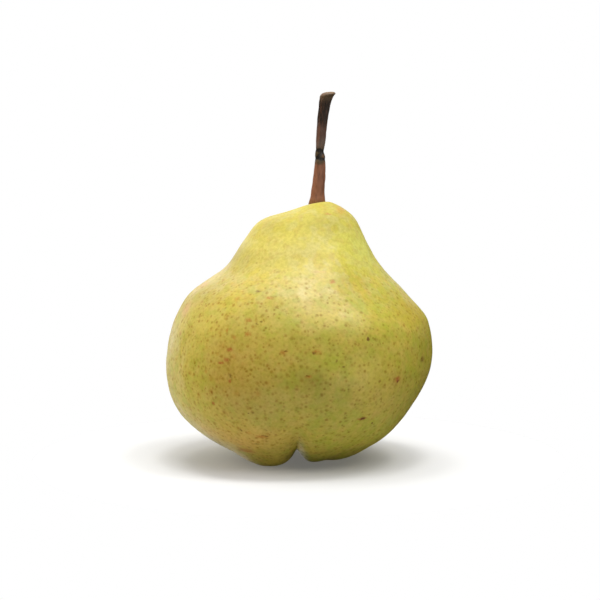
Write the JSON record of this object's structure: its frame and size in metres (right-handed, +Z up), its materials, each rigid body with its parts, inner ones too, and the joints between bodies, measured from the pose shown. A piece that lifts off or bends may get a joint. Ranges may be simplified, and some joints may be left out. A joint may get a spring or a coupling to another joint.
{
  "type": "pear",
  "caption": "Squat fresh pear that stands upright: bell-shaped fruit with a short leaning neck, a cleft base, a dried calyx underneath and a long woody stem. Fresh fruit for a bowl or table.",
  "frame": {"origin": "on the surface that the pear stands on, under the middle of its width and depth", "axes": "+Z up along the core to the stem, -Y towards the front with the deep cleft in the base, +X to the right as seen from the front, the side that the neck and the stem's knob lean to"},
  "size_m": [0.08, 0.0768, 0.1102],
  "materials": {
    "skin": "satin waxy fruit skin, yellow-green with fine brown dots",
    "stem_wood": "matte bark, red-brown below and dark grey-brown above",
    "dried_calyx": "matte, dry and brittle, nearly black"
  },
  "bodies": {
    "root": {"fruit": "skin", "stem": "stem_wood", "calyx": "dried_calyx"}
  },
  "joints": []
}
